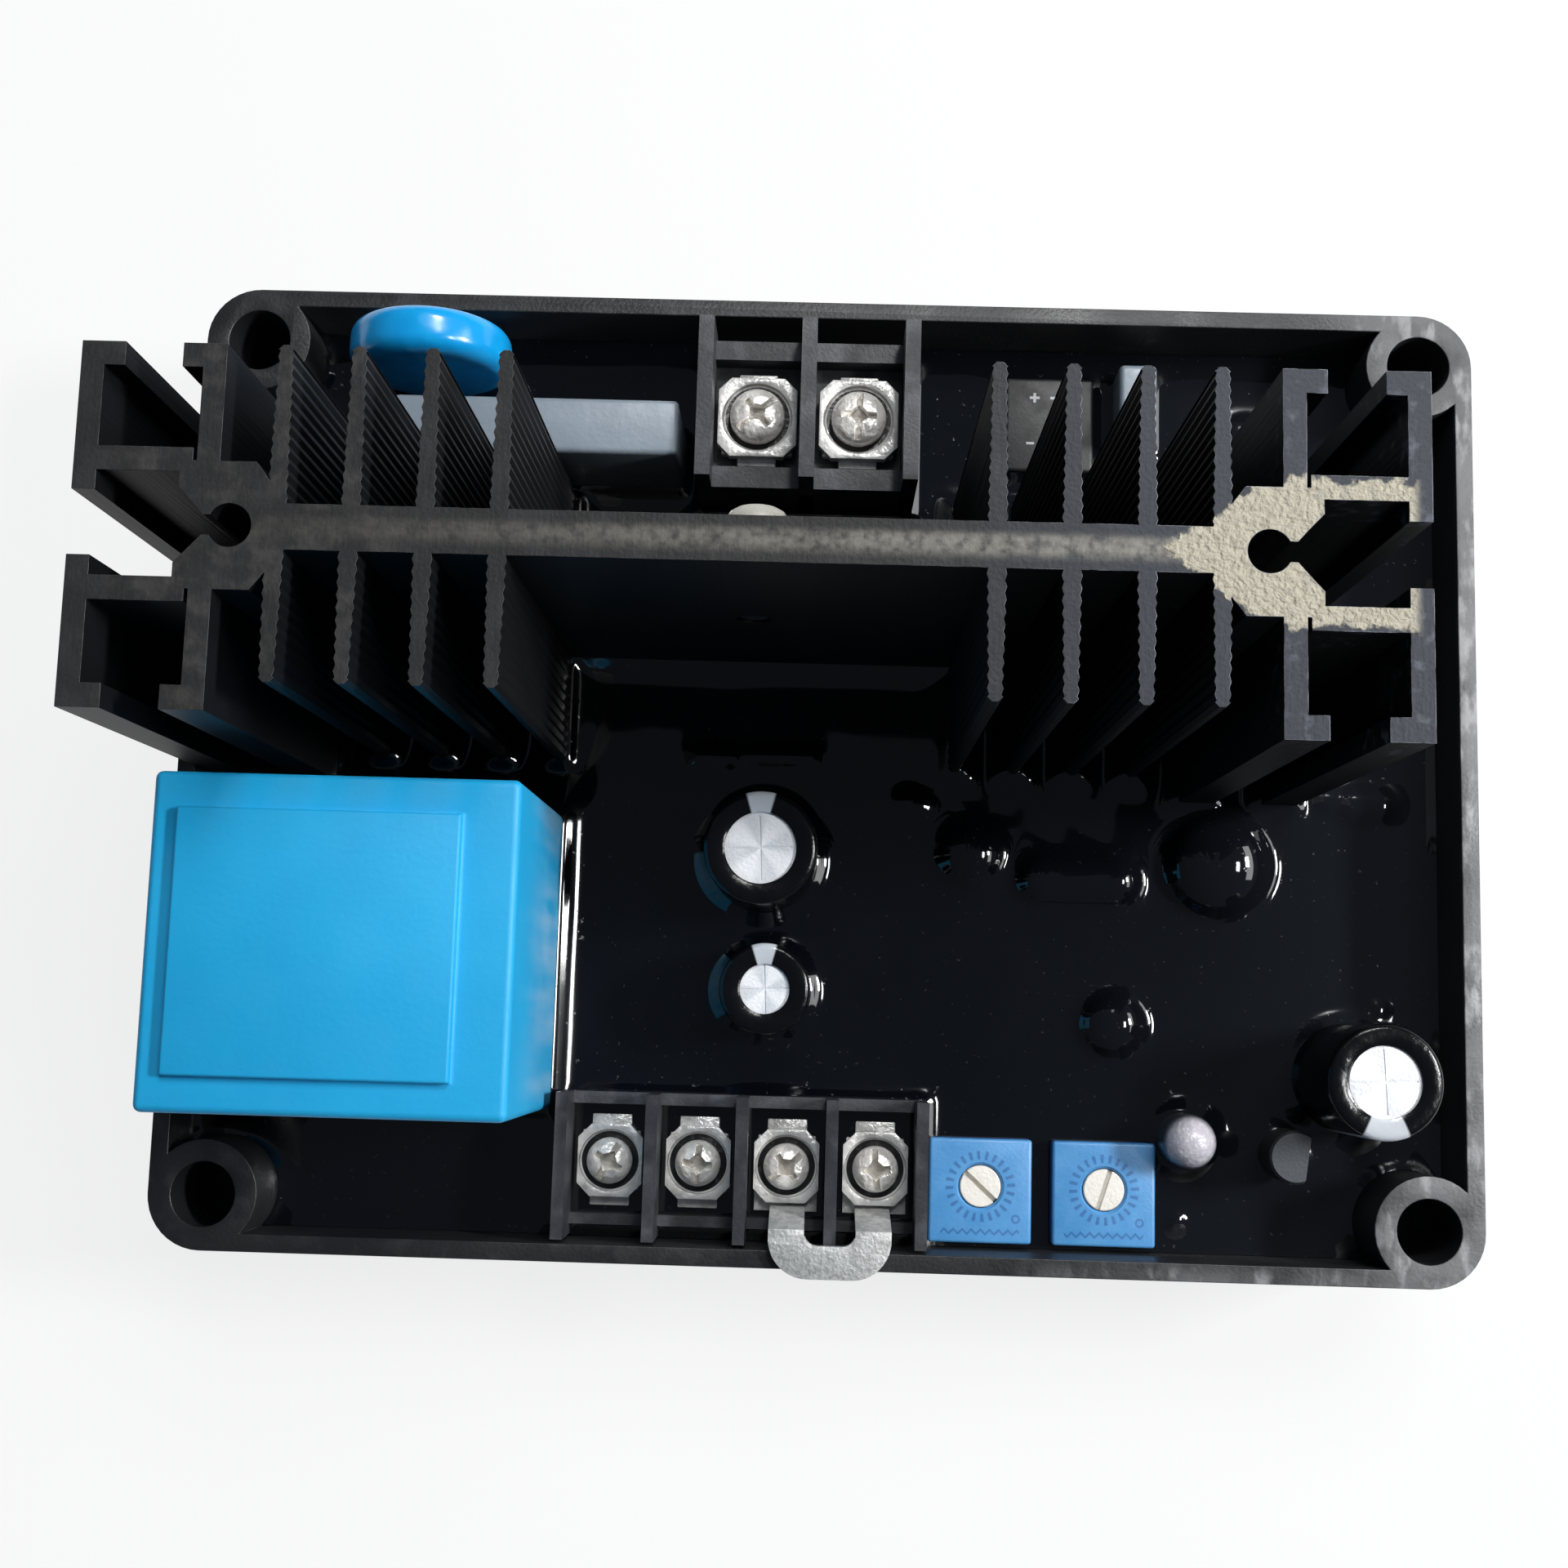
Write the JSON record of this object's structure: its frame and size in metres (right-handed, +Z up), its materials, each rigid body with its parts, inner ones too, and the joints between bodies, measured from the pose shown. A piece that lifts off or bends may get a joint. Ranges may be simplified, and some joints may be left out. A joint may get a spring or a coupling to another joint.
{
  "type": "automatic voltage regulator",
  "caption": "Potted control module in an open black tray with a finned heat sink, block transformer, capacitors, screw terminals with a link, trimmers and corner mounting holes.",
  "frame": {"origin": "middle of the four mounting holes, on the tray's underside", "axes": "+X to the right along the tray's long side, +Y to the rear terminals, +Z up out of the tray"},
  "size_m": [0.12, 0.0907, 0.0533],
  "materials": {
    "tray_plastic": "moulded, fine satin grain, scuffed rim",
    "board_laminate": "green laminate, under the resin",
    "resin": "poured black resin, glossy",
    "black_anodised": "black anodised extrusion, sawn end face",
    "steel": "bright plated",
    "zinc": "matt zinc plate",
    "blue_case": "moulded, satin",
    "blue_coat": "dipped coat, glossy",
    "trimmer_blue": "moulded, printed ticks",
    "ivory_plastic": "moulded",
    "bare_aluminium": "drawn can",
    "black_sleeve": "heat-shrunk film",
    "film_case": "moulded case, resin filled",
    "black_package": "moulded package",
    "clear_lens": "diffused lens",
    "grey_pad": "filled sheet",
    "ferrite": "wound core, under the resin",
    "small_body": "coated body, under the resin"
  },
  "bodies": {
    "regulator": {"tray": "tray_plastic", "circuit_board": "board_laminate", "potting": "resin", "heat_sink": "black_anodised", "heat_sink_screws": "steel", "thyristor": "black_package", "thyristor_pad": "grey_pad", "thyristor_screw": "ivory_plastic", "transformer": "blue_case", "filter_capacitor_can": "bare_aluminium", "filter_capacitor_sleeve": "black_sleeve", "timing_capacitor_can": "bare_aluminium", "timing_capacitor_sleeve": "black_sleeve", "supply_capacitor_can": "bare_aluminium", "supply_capacitor_sleeve": "black_sleeve", "film_capacitor": "film_case", "small_film_capacitor": "film_case", "varistor": "blue_coat", "bridge_rectifier": "black_package", "small_transistor": "black_package", "indicator_lamp": "clear_lens", "choke": "ferrite", "bead_capacitor_left": "small_body", "bead_capacitor_right": "small_body", "load_resistor": "small_body", "diode": "black_package", "front_terminal_block": "tray_plastic", "rear_terminal_block": "tray_plastic", "front_contact_1": "steel", "front_contact_2": "steel", "front_contact_3": "steel", "front_contact_4": "steel", "rear_contact_1": "steel", "rear_contact_2": "steel", "terminal_link": "zinc", "left_trimmer": "trimmer_blue", "right_trimmer": "trimmer_blue"},
    "front_washer_1": {"front_washer_1": "steel"},
    "front_screw_1": {"front_screw_1": "steel"},
    "front_washer_2": {"front_washer_2": "steel"},
    "front_screw_2": {"front_screw_2": "steel"},
    "front_washer_3": {"front_washer_3": "steel"},
    "front_screw_3": {"front_screw_3": "steel"},
    "front_washer_4": {"front_washer_4": "steel"},
    "front_screw_4": {"front_screw_4": "steel"},
    "rear_washer_1": {"rear_washer_1": "steel"},
    "rear_screw_1": {"rear_screw_1": "steel"},
    "rear_washer_2": {"rear_washer_2": "steel"},
    "rear_screw_2": {"rear_screw_2": "steel"},
    "left_trimmer_rotor": {"left_trimmer_rotor": "ivory_plastic"},
    "right_trimmer_rotor": {"right_trimmer_rotor": "ivory_plastic"}
  },
  "joints": [
    {"name": "front_washer_1_rise", "type": "slide", "parent": "regulator", "child": "front_washer_1", "axis": [0, 0, 1], "range_m": [0, 0.0025]},
    {"name": "front_screw_1_turn", "type": "hinge", "parent": "front_washer_1", "child": "front_screw_1", "pos_m": [-0.01895, -0.0363, 0.016], "axis": [0, 0, 1], "range_deg": [0, 1800]},
    {"name": "front_washer_2_rise", "type": "slide", "parent": "regulator", "child": "front_washer_2", "axis": [0, 0, 1], "range_m": [0, 0.0025]},
    {"name": "front_screw_2_turn", "type": "hinge", "parent": "front_washer_2", "child": "front_screw_2", "pos_m": [-0.01075, -0.0363, 0.016], "axis": [0, 0, 1], "range_deg": [0, 1800]},
    {"name": "front_washer_3_rise", "type": "slide", "parent": "regulator", "child": "front_washer_3", "axis": [0, 0, 1], "range_m": [0, 0.0025]},
    {"name": "front_screw_3_turn", "type": "hinge", "parent": "front_washer_3", "child": "front_screw_3", "pos_m": [-0.00255, -0.0363, 0.016], "axis": [0, 0, 1], "range_deg": [0, 1800]},
    {"name": "front_washer_4_rise", "type": "slide", "parent": "regulator", "child": "front_washer_4", "axis": [0, 0, 1], "range_m": [0, 0.0025]},
    {"name": "front_screw_4_turn", "type": "hinge", "parent": "front_washer_4", "child": "front_screw_4", "pos_m": [0.00565, -0.0363, 0.016], "axis": [0, 0, 1], "range_deg": [0, 1800]},
    {"name": "rear_washer_1_rise", "type": "slide", "parent": "regulator", "child": "rear_washer_1", "axis": [0, 0, 1], "range_m": [0, 0.0025]},
    {"name": "rear_screw_1_turn", "type": "hinge", "parent": "rear_washer_1", "child": "rear_screw_1", "pos_m": [-0.0072, 0.033, 0.023], "axis": [0, 0, 1], "range_deg": [0, 1800]},
    {"name": "rear_washer_2_rise", "type": "slide", "parent": "regulator", "child": "rear_washer_2", "axis": [0, 0, 1], "range_m": [0, 0.0025]},
    {"name": "rear_screw_2_turn", "type": "hinge", "parent": "rear_washer_2", "child": "rear_screw_2", "pos_m": [0.0023, 0.033, 0.023], "axis": [0, 0, 1], "range_deg": [0, 1800]},
    {"name": "left_trimmer_rotor_turn", "type": "hinge", "parent": "regulator", "child": "left_trimmer_rotor", "pos_m": [0.01546, -0.03769, 0.0142], "axis": [0, 0, 1], "range_deg": [-155, 155]},
    {"name": "right_trimmer_rotor_turn", "type": "hinge", "parent": "regulator", "child": "right_trimmer_rotor", "pos_m": [0.02689, -0.03769, 0.0142], "axis": [0, 0, 1], "range_deg": [-155, 155]}
  ],
  "couplings": [
    {"joint": "front_screw_1_turn", "follows": "front_washer_1_rise", "rad_per_m": 12566},
    {"joint": "front_screw_2_turn", "follows": "front_washer_2_rise", "rad_per_m": 12566},
    {"joint": "front_screw_3_turn", "follows": "front_washer_3_rise", "rad_per_m": 12566},
    {"joint": "front_screw_4_turn", "follows": "front_washer_4_rise", "rad_per_m": 12566},
    {"joint": "rear_screw_1_turn", "follows": "rear_washer_1_rise", "rad_per_m": 12566},
    {"joint": "rear_screw_2_turn", "follows": "rear_washer_2_rise", "rad_per_m": 12566}
  ]
}
